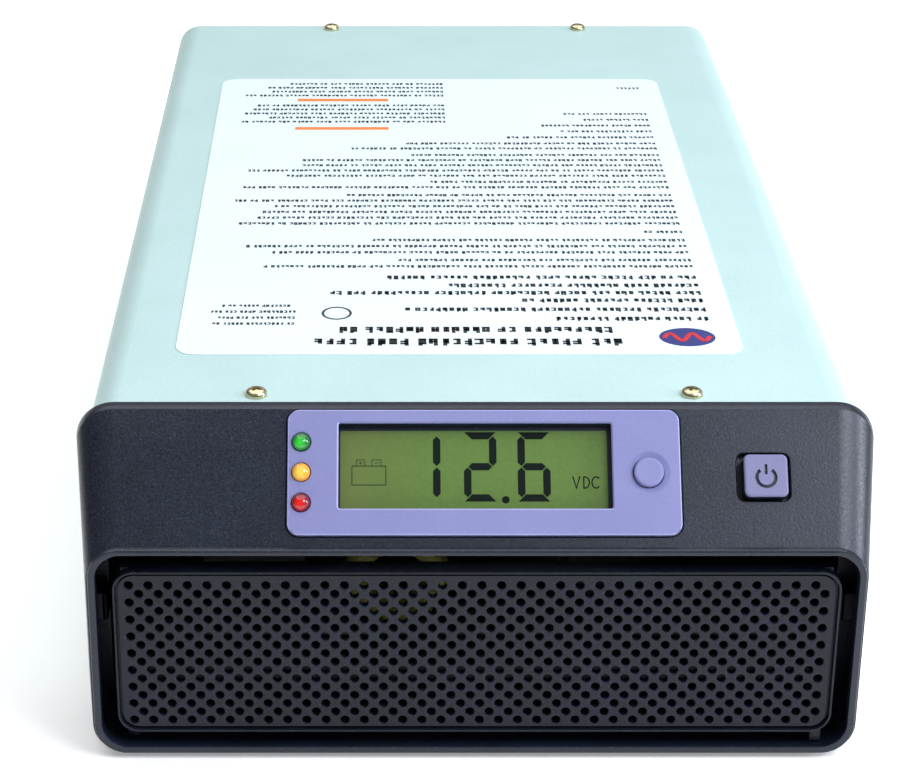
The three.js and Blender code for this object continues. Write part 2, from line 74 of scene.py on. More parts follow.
def add_softbox(name, place, target, size, power, color=(1, 1, 1)):
    data = bpy.data.lights.new(name, "AREA")
    data.shape = "RECTANGLE"
    data.size, data.size_y = size
    data.energy = power
    data.color = color
    light = bpy.data.objects.new(name, data)
    bpy.context.collection.objects.link(light)
    light.location = place
    light.rotation_euler = (Vector(target) - Vector(place)).to_track_quat("-Z", "Y").to_euler()
    light.visible_camera = False


def add_world():
    """An even cool sky, dimmer on the left."""
    world = bpy.data.worlds.new("studio")
    bpy.context.scene.world = world
    world.use_nodes = True
    tree = world.node_tree
    background = tree.nodes["Background"]
    background.inputs["Color"].default_value = (0.95, 0.97, 1.0, 1)
    direction = tree.nodes.new("ShaderNodeTexCoord")
    split = tree.nodes.new("ShaderNodeSeparateXYZ")
    strength = tree.nodes.new("ShaderNodeMapRange")
    strength.inputs["From Min"].default_value = -1
    strength.inputs["To Min"].default_value = 0.18
    strength.inputs["To Max"].default_value = 0.46
    tree.links.new(direction.outputs["Generated"], split.inputs["Vector"])
    tree.links.new(split.outputs["X"], strength.inputs["Value"])
    tree.links.new(strength.outputs["Result"], background.inputs["Strength"])


def add_lights():
    cool = (0.84, 0.89, 1.0)
    add_softbox("top_box", (0, 0.7, 3), (0, 0.1, 0), (5, 4), 100)
    add_softbox("right_box", (0.44, rim_y - 0.36, 0.66), (0.06, rim_y, 0.06), (0.36, 0.3), 3.4, cool)
    add_softbox("side_box", (0.9, rim_y - 0.12, 0.42), (0.1, rim_y, 0.05), (0.16, 0.5), 5, cool)
    bpy.context.scene.view_settings.view_transform = "Standard"


def add_floor():
    bm = bmesh.new()
    reach = 6
    places = ((-reach, -reach), (reach, -reach), (reach, reach), (-reach, reach))
    corners = [bm.verts.new((x, y, 0)) for x, y in places]
    bm.faces.new(corners)
    mesh = bpy.data.meshes.new("floor")
    bm.to_mesh(mesh)
    bm.free()
    floor = bpy.data.objects.new("floor", mesh)
    bpy.context.collection.objects.link(floor)
    surface("floor", (250, 250, 250), (255, 255, 255), grain=4, roughness=(0.7, 0.8), relief=0)
    shader = materials["floor"].node_tree.nodes["Principled BSDF"]
    shader.inputs["Emission Color"].default_value = (1, 1, 1, 1)
    shader.inputs["Emission Strength"].default_value = 0.27
    mesh.materials.append(materials["floor"])


# ---- Materials --------------------------------------------------------------------------------
def linear(color):
    """An sRGB colour, 0 to 255, as the linear colour that a shader takes."""
    channels = [c / 255 for c in color]
    return [c / 12.92 if c <= 0.04045 else ((c + 0.055) / 1.055) ** 2.4 for c in channels] + [1]


materials = {}


class Nodes:
    """A material's node tree, with short ways to add nodes and join their sockets."""

    def __init__(self, name):
        materials[name] = bpy.data.materials.new(name + "_finish")
        materials[name].use_nodes = True
        self.tree = materials[name].node_tree
        self.shader = self.tree.nodes["Principled BSDF"]
        self.place = self.tree.nodes.new("ShaderNodeTexCoord").outputs["Object"]

    def link(self, source, target):
        self.tree.links.new(source, target)

    def noise(self, size, detail=2.0, stretch=(1, 1, 1)):
        """Noise whose features are about size millimetres across, drawn out by stretch."""
        mapping = self.tree.nodes.new("ShaderNodeMapping")
        mapping.inputs["Scale"].default_value = [1 / s for s in stretch]
        noise = self.tree.nodes.new("ShaderNodeTexNoise")
        noise.inputs["Scale"].default_value = 1 / (size * mm)
        noise.inputs["Detail"].default_value = detail
        self.link(self.place, mapping.inputs["Vector"])
        self.link(mapping.outputs["Vector"], noise.inputs["Vector"])
        return noise.outputs["Fac"]

    def ramp(self, source, stops):
        """A colour for each level of source: stops are (level, sRGB colour) pairs."""
        ramp = self.tree.nodes.new("ShaderNodeValToRGB")
        elements = ramp.color_ramp.elements
        for index, (level, color) in enumerate(stops):
            element = elements[index] if index < 2 else elements.new(level)
            element.position = level
            element.color = linear(color)
        self.link(source, ramp.inputs["Fac"])
        return ramp.outputs["Color"]

    def between(self, source, low, high, from_low=0.3, from_high=0.7):
        """source brought from one range of numbers to another."""
        node = self.tree.nodes.new("ShaderNodeMapRange")
        node.inputs["From Min"].default_value = from_low
        node.inputs["From Max"].default_value = from_high
        node.inputs["To Min"].default_value = low
        node.inputs["To Max"].default_value = high
        self.link(source, node.inputs["Value"])
        return node.outputs["Result"]

    def mix(self, amount, first, second, blend="MIX"):
        """Two colour sockets mixed by a number or a socket."""
        node = self.tree.nodes.new("ShaderNodeMix")
        node.data_type = "RGBA"
        node.blend_type = blend
        if isinstance(amount, (int, float)):
            node.inputs["Factor"].default_value = amount
        else:
            self.link(amount, node.inputs["Factor"])
        # Inputs 6 and 7 and output 2 are the node's colour sockets.
        self.link(first, node.inputs[6])
        self.link(second, node.inputs[7])
        return node.outputs[2]

    def color(self):
        """The socket that the surface's colour comes from so far."""
        return self.shader.inputs["Base Color"].links[0].from_socket

    def bump(self, height, depth):
        """Relief of the given depth in millimetres, following height."""
        node = self.tree.nodes.new("ShaderNodeBump")
        node.inputs["Distance"].default_value = depth * mm
        self.link(height, node.inputs["Height"])
        self.link(node.outputs["Normal"], self.shader.inputs["Normal"])


def surface(name, dark, light, grain, roughness, relief, metallic=0.0, coat=0.0, stretch=(1, 1, 1)):
    """A surface whose colour runs between dark and light with a grain of that many millimetres, over
    broad soft blotches. roughness is a range, and relief the depth of the grain in millimetres."""
    nodes = Nodes(name)
    fine = nodes.noise(grain, stretch=stretch)
    broad = nodes.noise(grain * 40, detail=1.0)
    fine_color = nodes.ramp(fine, [(0.3, dark), (0.7, light)])
    broad_color = nodes.ramp(broad, [(0.3, dark), (0.7, light)])
    nodes.link(nodes.mix(0.35, fine_color, broad_color), nodes.shader.inputs["Base Color"])
    nodes.link(nodes.between(fine, *roughness), nodes.shader.inputs["Roughness"])
    nodes.shader.inputs["Metallic"].default_value = metallic
    nodes.shader.inputs["Coat Weight"].default_value = coat
    if relief:
        nodes.bump(fine, relief)
    return nodes


def dark_moulding(name, dark, light, gloss):
    """Spark-eroded dark plastic: a fine grain with scattered paler specks."""
    nodes = surface(name, dark, light, 0.6, (0.3, 0.42), 0.04)
    nodes.shader.inputs["Specular IOR Level"].default_value = gloss
    base = nodes.color()
    specks = nodes.between(nodes.noise(0.4, detail=1.0), 0, 0.24, 0.6, 0.72)
    pale = nodes.ramp(nodes.noise(3.0), [(0.3, (84, 92, 122)), (0.7, (108, 104, 140))])
    nodes.link(nodes.mix(specks, base, pale), nodes.shader.inputs["Base Color"])


def violet_plastic(name, dark, light):
    """Matt violet plastic."""
    nodes = surface(name, dark, light, 0.35, (0.42, 0.54), 0.01)
    nodes.shader.inputs["Specular IOR Level"].default_value = 0.15


def lcd():
    """Reflective liquid crystal: olive, browner towards its left end."""
    nodes = surface("lcd", (92, 120, 56), (100, 128, 63), 1.2, (0.16, 0.24), 0, coat=0.2)
    base = nodes.color()
    across = nodes.tree.nodes.new("ShaderNodeSeparateXYZ")
    nodes.link(nodes.place, across.inputs["Vector"])
    left_end = nodes.between(across.outputs["X"], 0.6, 0.0, -0.035, -0.012)
    brown = nodes.ramp(nodes.noise(8.0), [(0.3, (104, 112, 60)), (0.7, (112, 118, 68))])
    nodes.link(nodes.mix(left_end, base, brown), nodes.shader.inputs["Base Color"])


def lens(name, deep, bright, node):
    """A glossy clear dome whose colour is a painted glow, brightest low on its left side, with a faint
    emission that paints it as glowing though the lamp is not lit.
    """
    nodes = Nodes(name)
    low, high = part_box(node)
    # The spot low on the dome's left is where the painted glow is brightest.
    painted_light_spot = face.to_3x3().normalized() @ Vector((-0.6, -0.7, 0)) * mm
    distance = nodes.tree.nodes.new("ShaderNodeVectorMath")
    distance.operation = "DISTANCE"
    distance.inputs[1].default_value = lamp_top((low + high) / 2) + painted_light_spot
    nodes.link(nodes.place, distance.inputs[0])
    painted_glow = nodes.between(distance.outputs["Value"], 1, 0, 0.0003, 0.0022)
    flecks = nodes.noise(0.5)
    color = nodes.ramp(painted_glow, [(0.0, deep), (1.0, bright)])
    shade = nodes.ramp(flecks, [(0.2, deep), (0.6, bright)])
    nodes.link(nodes.mix(0.1, color, shade), nodes.shader.inputs["Base Color"])
    nodes.link(nodes.between(flecks, 0.1, 0.16), nodes.shader.inputs["Roughness"])
    # The emission is painted glow: the lamp is not lit.
    nodes.link(color, nodes.shader.inputs["Emission Color"])
    nodes.shader.inputs["Emission Strength"].default_value = 0.12
    nodes.shader.inputs["Coat Weight"].default_value = 0.6


def circuit_board():
    """Green solder mask over a pattern of copper tracks."""
    nodes = surface("circuit_board", (14, 56, 32), (20, 68, 40), 0.6, (0.3, 0.45), 0.01, coat=0.3)
    base = nodes.color()
    tracks = nodes.tree.nodes.new("ShaderNodeTexBrick")
    tracks.inputs["Scale"].default_value = 120
    tracks.inputs["Mortar Size"].default_value = 0.012
    tracks.inputs["Color1"].default_value = linear((255, 255, 255))
    tracks.inputs["Color2"].default_value = linear((225, 235, 225))
    tracks.inputs["Mortar"].default_value = linear((120, 170, 120))
    nodes.link(nodes.place, tracks.inputs["Vector"])
    mixed = nodes.mix(0.8, base, tracks.outputs["Color"], "MULTIPLY")
    nodes.link(mixed, nodes.shader.inputs["Base Color"])


def make_materials():
    surface("case_paint", (180, 210, 208), (194, 222, 221), 0.7, (0.4, 0.5), 0.02)
    dark_moulding("front_moulding", (4, 9, 19), (26, 35, 53), 0.5)
    # A darker copy of the front moulding's colour: painted shade for the grille, which faces the front.
    dark_moulding("grille_moulding_painted_shade", (3, 7, 15), (20, 27, 40), 0.3)
    violet_plastic("display_surround", (129, 131, 178), (142, 144, 190))
    # A paler copy of the surround's colour: a painted highlight for its bevels.
    violet_plastic("surround_painted_highlight", (164, 166, 214), (178, 180, 226))
    violet_plastic("button", (124, 123, 160), (138, 136, 172))
    lcd()
    ink = surface("lcd_ink", (8, 20, 14), (16, 30, 22), 0.5, (0.5, 0.65), 0)
    ink.shader.inputs["Specular IOR Level"].default_value = 0.1
    surface("white_moulding", (214, 216, 214), (228, 230, 228), 0.6, (0.45, 0.55), 0.01)
    lens("lens_green", (0, 84, 22), (50, 215, 60), "led_green")
    lens("lens_yellow", (226, 150, 12), (255, 218, 84), "led_yellow")
    lens("lens_red", (112, 4, 18), (240, 24, 14), "led_red")
    circuit_board()
    surface("black_moulding", (16, 16, 18), (30, 30, 33), 0.5, (0.42, 0.56), 0.02)
    surface("red_moulding", (146, 20, 18), (170, 30, 26), 0.5, (0.38, 0.5), 0.02)
    surface("plated_steel", (128, 130, 134), (164, 166, 170), 0.5, (0.26, 0.42), 0.004, 0.95,
            stretch=(6, 1, 1))
    # A darker copy of the plated steel: painted shade for the tray inside the case.
    surface("shaded_steel", (58, 60, 64), (80, 82, 86), 0.5, (0.4, 0.55), 0.004, 0.8,
            stretch=(6, 1, 1))
    surface("screw_plate", (190, 180, 140), (226, 218, 184), 0.3, (0.18, 0.32), 0.004, 1.0)
    surface("foot_rubber", (22, 22, 24), (34, 34, 36), 0.8, (0.75, 0.9), 0.04)
    surface("label", (226, 242, 246), (234, 248, 251), 1.5, (0.35, 0.45), 0.002)
    surface("bare_aluminium", (176, 180, 184), (206, 210, 213), 0.4, (0.3, 0.45), 0.006, 1.0,
            stretch=(1, 10, 1))
    surface("yellow_winding", (128, 126, 46), (220, 214, 122), 1.4, (0.25, 0.45), 0.05, coat=0.3)
    surface("capacitor_sleeve", (20, 38, 66), (30, 52, 86), 1.0, (0.2, 0.3), 0.004, coat=0.4)
    surface("fuse_orange", (200, 100, 22), (220, 122, 34), 0.8, (0.2, 0.32), 0.01, coat=0.3)
    surface("brass", (176, 140, 70), (206, 172, 96), 0.4, (0.2, 0.34), 0.004, 1.0)
    surface("ink_black", (18, 24, 32), (38, 46, 54), 0.4, (0.5, 0.6), 0)
    surface("ink_orange", (228, 124, 48), (240, 142, 66), 0.8, (0.5, 0.6), 0)
    surface("ink_blue", (36, 42, 110), (52, 60, 134), 0.8, (0.5, 0.6), 0)
    surface("ink_red", (196, 30, 40), (214, 46, 52), 0.8, (0.5, 0.6), 0)


# ---- Shapes -----------------------------------------------------------------------------------
def upright(x, y, height):
    return Vector((x, y, height))


def facing_front(x, z, depth):
    return Vector((x, depth, z))


class Outline:
    """A rectangle with round corners."""

    def __init__(self, x, y, radius):
        self.x, self.y, self.radius = x, y, radius

    def ring(self, grow=0.0, steps=8):
        """Its points, anticlockwise, with every side moved outward by grow."""
        radius = max(self.radius + grow, 0.02)
        right, left = self.x[1] + grow - radius, self.x[0] - grow + radius
        top, bottom = self.y[1] + grow - radius, self.y[0] - grow + radius
        centres = ((right, top), (left, top), (left, bottom), (right, bottom))
        points = []
        for quarter, (cx, cy) in enumerate(centres):
            for step in range(steps + 1):
                angle = (quarter + step / steps) * math.pi / 2
                points.append((cx + radius * math.cos(angle), cy + radius * math.sin(angle)))
        return points

    def holds(self, point, margin):
        """Whether a point lies within the sides, moved outward by margin."""
        across = self.x[0] - margin < point.x < self.x[1] + margin
        return across and self.y[0] - margin < point.y < self.y[1] + margin


def skin(bm, rings, ends=True):
    """Faces between each ring of vertices and the next, and over the first and last rings. A ring of
    one vertex is a point that the skin comes to."""
    for near, far in zip(rings, rings[1:]):
        for i in range(max(len(near), len(far))):
            if len(near) == 1:
                corners = [near[0], far[i], far[i - 1]]
            elif len(far) == 1:
                corners = [near[i - 1], near[i], far[0]]
            else:
                corners = [near[i - 1], near[i], far[i], far[i - 1]]
            bm.faces.new(corners)
    if ends:
        for ring in (rings[0], rings[-1]):
            if len(ring) > 2:
                bm.faces.new(ring)


def stack(outline, levels, place=upright, steps=8):
    """A solid whose outline changes with height: levels are (grow, height) pairs."""
    bm = bmesh.new()
    rings = [[bm.verts.new(place(x, y, height)) for x, y in outline.ring(grow, steps)]
             for grow, height in levels]
    skin(bm, rings)
    return bm


def circle(centre, radius, height, sides, place=upright):
    """Points round a circle at a height."""
    angles = [i / sides * 2 * math.pi for i in range(sides)]
    return [place(centre[0] + radius * math.cos(a), centre[1] + radius * math.sin(a), height)
            for a in angles]


def lathe(profile, sides=48, centre=(0, 0), place=upright):
    """Spins (radius, height) points about a centre. A radius of zero closes an end."""
    bm = bmesh.new()
    rings = []
    for radius, height in profile:
        points = circle(centre, radius, height, sides if radius else 1, place)
        rings.append([bm.verts.new(point) for point in points])
    skin(bm, rings)
    return bm


def closed_loop(rings):
    """A ring-shaped solid whose cross-section is the given loop of point rings."""
    bm = bmesh.new()
    rings = [[bm.verts.new(point) for point in ring] for ring in rings]
    skin(bm, [*rings, rings[0]], ends=False)
    return bm


def soft_block(x, y, z, edge=0.3):
    """A block with softened upright corners and softened upper and lower edges."""
    outline = Outline(x, y, edge * 2)
    levels = [(-edge, z[0]), (0, z[0] + edge), (0, z[1] - edge), (-edge, z[1])]
    return stack(outline, levels, steps=3)


def merge(*meshes):
    """Several shapes as one mesh of separate islands."""
    merged = bmesh.new()
    for bm in meshes:
        mesh = bpy.data.meshes.new("part")
        bm.to_mesh(mesh)
        bm.free()
        merged.from_mesh(mesh)
        bpy.data.meshes.remove(mesh)
    return merged


def plain_object(bm):
    bmesh.ops.recalc_face_normals(bm, faces=bm.faces)
    mesh = bpy.data.meshes.new("shape")
    bm.to_mesh(mesh)
    bm.free()
    shape = bpy.data.objects.new("shape", mesh)
    bpy.context.collection.objects.link(shape)
    return shape


def combine(base, joined=(), removed=()):
    """The base shape with some shapes joined to it and then others cut from it."""
    target = plain_object(base)
    tools = [(bm, "UNION") for bm in joined] + [(bm, "DIFFERENCE") for bm in removed]
    helpers = []
    for bm, operation in tools:
        helper = plain_object(bm)
        helpers.append(helper)
        modifier = target.modifiers.new(operation.lower(), "BOOLEAN")
        modifier.operation = operation
        modifier.solver = "EXACT"
        modifier.object = helper
    result = target.evaluated_get(bpy.context.evaluated_depsgraph_get())
    bm = bmesh.new()
    bm.from_mesh(result.to_mesh())
    result.to_mesh_clear()
    for leftover in [target, *helpers]:
        bpy.data.meshes.remove(leftover.data)
    return bm


# ---- Making pieces ----------------------------------------------------------------------------
record = frame["record"]
body_of_node = {node: body for body, nodes in record["behaviour"]["bodies"].items() for node in nodes}
slot_of_node = {row["node"]: row["material_slot"] for row in record["subparts"]}


def piece(name, bm, node, within=unit, sharp=38, material=None, replaces=True):
    """A finished piece that goes with a CAD node: it rides on the node's body, takes its material
    slot, and stands for it unless replaces is off."""
    bmesh.ops.remove_doubles(bm, verts=bm.verts, dist=0.003)
    bmesh.ops.recalc_face_normals(bm, faces=bm.faces)
    bm.transform(within)
    for polygon in bm.faces:
        polygon.smooth = True
    for edge in bm.edges:
        edge.smooth = len(edge.link_faces) == 2 and edge.calc_face_angle(0) < math.radians(sharp)
    mesh = bpy.data.meshes.new(name)
    bm.to_mesh(mesh)
    bm.free()
    made = bpy.data.objects.new(name, mesh)
    bpy.context.collection.objects.link(made)
    mesh.materials.append(materials[material or slot_of_node[node]])
    weighted = made.modifiers.new("weighted", "WEIGHTED_NORMAL")
    weighted.keep_sharp = True
    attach(made, body_of_node[node])
    if replaces:
        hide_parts(node)
    return made


def refinish(made, material, chosen):
    """Gives a material to the faces that chosen picks by their middle and normal, both in the sloping
    face's frame."""
    made.data.materials.append(materials[material])
    index = len(made.data.materials) - 1
    to_face = face.inverted()
    for polygon in made.data.polygons:
        middle = to_face @ polygon.center
        normal = (to_face.to_3x3() @ polygon.normal).normalized()
        if chosen(middle, normal):
            polygon.material_index = index


def refined(node, material=None):
    """A CAD node's own shape with its flat faces made whole and its edges softened."""
    bm = bmesh.new()
    bm.from_mesh(frame["nodes"][node].data)
    bm.transform(unit.inverted())
    bmesh.ops.remove_doubles(bm, verts=bm.verts, dist=0.01)
    bmesh.ops.dissolve_limit(bm, angle_limit=math.radians(1), verts=bm.verts, edges=bm.edges)
    made = piece(node + "_body", bm, node, sharp=30, material=material)
    bevel = made.modifiers.new("soft_edges", "BEVEL")
    bevel.width = 0.25 * mm
    bevel.segments = 2
    bevel.limit_method = "ANGLE"
    bevel.angle_limit = math.radians(32)
    made.modifiers.move(1, 0)


def flat_print(name, bm, node, within, material):
    """A thin film on a node's surface. Its faces are flat, so they need no weighted normals."""
    made = piece(name, bm, node, within, material=material, replaces=False)
    made.modifiers.clear()


# ---- Front moulding ---------------------------------------------------------------------------
moulding_half = 97.6
moulding_flare = 3.9
moulding_corner = 8.3
rim = Outline((-97.2, 97.2), (1.4, 60.7), moulding_corner)
recess = Outline((-95.2, 95.2), (3.6, 59), 6.6)
panel = Outline((-47.3, 50.9), (3.6, 35.9), 3)
power_hole = Outline((64.9, 78.3), (12.5, 24.8), 1.9)
slope_top = Vector((0, 25, 60.2 + (25 - 1.2) / math.tan(lean)))
moulding_back = 29
moulding_top = 88
wall = 2.2
cover_front = 26.5


def moulding_ring(bm, depth, inset, top_inset):
    """The moulding's outline at a depth: it widens towards the back and its top follows the slope."""
    along = (depth - knee.y) / (moulding_back - knee.y)
    if depth <= slope_top.y:
        top = knee.z + (depth - knee.y) / math.tan(lean)
    else:
        turn = min(1, (depth - slope_top.y) / 2) * math.pi / 2
        top = slope_top.z + (moulding_top - slope_top.z) * math.sin(turn)
    half = moulding_half + moulding_flare * along - inset
    bottom = 1.4 - along + inset
    corner = moulding_corner + 1.7 * along - inset
    outline = Outline((-half, half), (bottom, top - top_inset), corner)
    return [bm.verts.new((x, depth, z)) for x, z in outline.ring(steps=14)]


def moulding_shell():
    """The outer and inner skins, as two solids."""
    outer = bmesh.new()
    depths = [knee.y, 6, 12, 18, slope_top.y, 25.4, 25.8, 26.3, 27, 28.5]
    rings = [moulding_ring(outer, depth, 0, 0) for depth in depths]
    rings.append(moulding_ring(outer, 28.85, 0.15, 0.15))
    rings.append(moulding_ring(outer, moulding_back, 0.5, 0.5))
    skin(outer, rings)
    inner = bmesh.new()
    wall_up = wall / math.sin(lean)
    insets = [(knee.y + wall, wall_up), (13, wall_up), (slope_top.y, wall_up),
              (cover_front - 0.2, wall), (moulding_back + 0.6, wall)]
    skin(inner, [moulding_ring(inner, depth, wall, up) for depth, up in insets])
    return outer, inner


def moulding_mouths():
    """The cutters for the display's shallow bed, its opening and the power button's hole."""
    bed = stack(panel, [(0.3, -1), (0.3, -0.25), (0.65, 0.1), (0.65, 6)])
    display_opening = stack(Outline((-46.2, 49.4), (6.6, 34.6), 0.5), [(0, -6), (0, 2)], steps=2)
    button_hole = stack(power_hole, [(0, -6), (0, -0.3), (0.15, -0.1), (0.5, 0.1), (0.5, 3)])
    mouths = [bed, display_opening, button_hole]
    for mouth in mouths:
        mouth.transform(unit.inverted() @ face)
    return mouths


def moulding_flange():
    """The flange inside the moulding that the cover's front edge stops against."""
    plate_depths = [(0, cover_front - 1.1), (0, cover_front - 0.3)]
    plate = stack(Outline((-100, 100), (1.6, 72), 8.8), plate_depths, facing_front)
    middle = stack(Outline((-94.6, 94.6), (6, 120), 5), [(0, 20), (0, 30)], facing_front)
    return combine(plate, removed=[middle])


def moulding_hooks():
    """Two hooks on each side, which reach back inside the case."""
    hooks = []
    for side in (-1, 1):
        for z in (34, 62):
            for reach, far in ((98.5, 25.5), (96.4, 44)):
                x = sorted((side * 94.6, side * reach))
                hooks.append(soft_block(x, (19, far), (z - 4, z + 4)))
    return hooks


def bezel():
    outer, inner = moulding_shell()
    lip = stack(rim, [(-0.7, 0), (-0.25, 0.2), (0, 0.7), (0, 2.2)], facing_front, 14)
    opening_levels = [(0.9, -0.45), (0.45, 0), (0.12, 0.18), (0, 0.5), (0, 6)]
    opening = stack(recess, opening_levels, facing_front, 14)
    shell = combine(outer, joined=[lip], removed=[inner, opening, *moulding_mouths()])
    shell = combine(shell, joined=[moulding_flange()])
    piece("bezel", merge(shell, *moulding_hooks()), "front_bezel", sharp=34)


# ---- Grille -----------------------------------------------------------------------------------
grille_plate = Outline((-91.1, 91.1), (7.7, 54.3), 5.4)
grille_face = 1.2
grille_back = 3.2
hole_pitch = 4.9
hole_columns = 36
hole_rows = 17
top_row = 50.2
hole_radius = 1.14
hole_sides = 20
diamond = ((1, 0), (0, -1), (-1, 0), (0, 1))


def lattice_point(across, row):
    """The place of a point on the lattice of half pitches that the holes are set out on."""
    start = -hole_pitch * (hole_columns / 2 - 0.25)
    return start + across * hole_pitch / 2, top_row - row * hole_pitch / 2


class HoleField:
    """The perforated middle of the plate: a diamond of material round each hole."""

    def __init__(self, bm):
        self.bm = bm
        self.corners = {}
        for row in range(hole_rows):
            for column in range(hole_columns):
                self.add_hole(2 * column + row % 2, row)

    def corner(self, across, row, step, depth):
        """A diamond's corner, shared with its neighbours, or drawn in where it has none."""
        key = (across + step[0], row + step[1], depth)
        if key not in self.corners:
            inside = 0 <= key[0] < 2 * hole_columns and 0 <= key[1] < hole_rows
            reach = 1 if inside else 0.7
            x, z = lattice_point(across + step[0] * reach, row + step[1] * reach)
            self.corners[key] = self.bm.verts.new((x, depth, z))
        return self.corners[key]

    def add_hole(self, across, row):
        x, z = lattice_point(across, row)
        angles = [i / hole_sides * 2 * math.pi for i in range(hole_sides)]
        levels = [(hole_radius + 0.2, grille_face), (hole_radius + 0.06, grille_face + 0.06),
                  (hole_radius, grille_face + 0.22), (hole_radius, grille_back)]
        rings = [[self.bm.verts.new((x + r * math.cos(a), depth, z + r * math.sin(a))) for a in angles]
                 for r, depth in levels]
        skin(self.bm, rings, ends=False)
        for depth, ring in ((grille_face, rings[0]), (grille_back, rings[-1])):
            corners = [self.corner(across, row, step, depth) for step in diamond]
            quarter = hole_sides // 4
            for side, (near, far) in enumerate(zip(corners, corners[1:] + corners[:1])):
                arc = [ring[(side * quarter + i) % hole_sides] for i in range(quarter + 1)]
                middle = quarter // 2
                for i in range(quarter):
                    self.bm.faces.new((near if i < middle else far, arc[i], arc[i + 1]))
                self.bm.faces.new((near, arc[middle], far))

    def edge(self, depth):
        """The field's zigzag outer edge at a depth."""
        right, below = 2 * hole_columns, hole_rows
        keys = []
        for column in range(hole_columns):
            keys += [(2 * column, -1), (2 * column + 1, 0)]
        for row in range(1, hole_rows, 2):
            keys += [(right, row), (right - 1, row + 1)]
        for column in reversed(range(hole_columns)):
            keys += [(2 * column, below), (2 * column - 1, below - 1)]
        for row in reversed(range(1, hole_rows, 2)):
            keys += [(0, row), (-1, row - 1)]
        return [self.corners[(*key, depth)] for key in keys]


def grille_ribs():
    """The ribs that tie the plate to the moulding, across the open channel below and above it."""
    ribs = []
    for x, foot_front in ((-87.7, 4.8), (87.7, 2.4)):
        sides = (x - 1.5, x + 1.5)
        ribs.append(soft_block(sides, (foot_front, 6.2), (3.9, 8.7), 0.2))
        ribs.append(soft_block(sides, (grille_back, 11), (52.7, 54.3), 0.2))
        ribs.append(soft_block(sides, (8.5, 11), (52.7, 64.8), 0.2))
    return ribs


def grille():
    bm = bmesh.new()
    field = HoleField(bm)
    groove = [(-1.4, grille_face), (-1.3, grille_face + 0.15), (-1.25, 2.1), (-0.8, 2.1), (-0.72, 0.75)]
    ridge = [(-0.6, 0.52), (-0.45, 0.5), (-0.2, 0.5), (-0.05, 0.6), (0, 0.85)]
    skirt = [(0, 6.2), (-1.4, 6.2), (-1.4, grille_back)]
    rings = [[bm.verts.new((x, depth, z)) for x, z in grille_plate.ring(grow, 10)]
             for grow, depth in groove + ridge + skirt]
    skin(bm, rings, ends=False)
    for depth, ring in ((grille_face, rings[0]), (grille_back, rings[-1])):
        zigzag = field.edge(depth)
        corners = ring + zigzag
        triangles = tessellate_polygon([[v.co.xzy for v in loop] for loop in (ring, zigzag)])
        for triangle in triangles:
            bm.faces.new([corners[i] for i in triangle])
    # The grille takes the darker moulding colour as painted shade.
    piece("grille", merge(bm, *grille_ribs()), "front_grille", sharp=50, material="grille_moulding_painted_shade")


# ---- Display ----------------------------------------------------------------------------------
window = Outline((-34.6, 33.8), (10.4, 32.4), 0.5)
led_x = -43.9
led_rows = {"led_green": 27.5, "led_yellow": 19.7, "led_red": 11.9}
round_button = (42.9, 19.6)
power_key = (72, 18.6)
led_tip = 2.7
glass_front = -2.3


def lamp_top(middle):
    """The tip of the lamp whose box has that middle, in the model's frame."""
    nearest = min(led_rows.values(), key=lambda s: abs((face @ Vector((led_x, s, -led_tip))).z - middle.z))
    return face @ Vector((led_x, nearest, led_tip))


def display_surround():
    plate = stack(panel, [(0, -0.7), (0, 0.72), (-0.1, 0.9), (-0.3, 1)], steps=12)
    wall_frame = stack(Outline((-35.6, 34.8), (9.4, 33.4), 0.6), [(0, -2), (0, 0)], steps=3)
    window_cut = stack(window, [(0, -4), (0, 0.6), (0.06, 0.7), (0.36, 0.98), (0.5, 1.2)], steps=4)
    lamp_cut = [(2.45, -4), (2.45, 0.75), (2.6, 0.92), (2.95, 1.2)]
    lamp_cuts = [lathe(lamp_cut, centre=(led_x, s)) for s in led_rows.values()]
    dish_cut = [(3.95, -4), (3.95, 0.5), (4.1, 0.62), (5.4, 0.98), (5.6, 1.2)]
    dish = lathe(dish_cut, 64, round_button)
    bm = combine(plate, joined=[wall_frame], removed=[window_cut, *lamp_cuts, dish])
    made = piece("display_surround", bm, "display_panel", face, sharp=40)

    def window_wall_painted_shade(middle, normal):
        return window.holds(middle, 0.6) and abs(normal.z) < 0.5

    def lit_edge(middle, normal):
        """The bevel round the plate, and the window's bevels that face right or up, which take a paler
        colour as a painted highlight.
        """
        if abs(normal.z) > 0.97 or middle.z < 0.6:
            return False
        if window.holds(middle, 0.6):
            return normal.x > 0.3 or normal.y > 0.3
        return not panel.holds(middle, -0.6)

    # The paler bevels are a painted highlight.
    refinish(made, "surround_painted_highlight", lit_edge)
    # The window's walls take the dark moulding colour as painted shade.
    refinish(made, "front_moulding", window_wall_painted_shade)


def lamps():
    flange = [(0, -8.1), (2.2, -8.1), (2.3, -8.0)]
    angles = [i / 10 * math.pi / 2 for i in range(10)]
    dome = [(2.3 * math.cos(a), 0.8 + 1.9 * math.sin(a)) for a in angles]
    for node, s in led_rows.items():
        bm = lathe([*flange, *dome, (0, led_tip)], 40, (led_x, s))
        piece(node + "_lamp", bm, node, face)


def display_key():
    foot = [(0, -4.9), (1.6, -4.9), (1.6, -2.2), (4.6, -2.2), (4.6, -1), (3.7, -1)]
    top = [(3.7, 1.7), (3.6, 1.95), (3.4, 2.07), (3.1, 2.1), (2.4, 2.06), (1.2, 2.02), (0, 2.01)]
    bm = lathe(foot + top, 64, round_button)
    piece("display_key", bm, "display_button", face, material="display_surround")


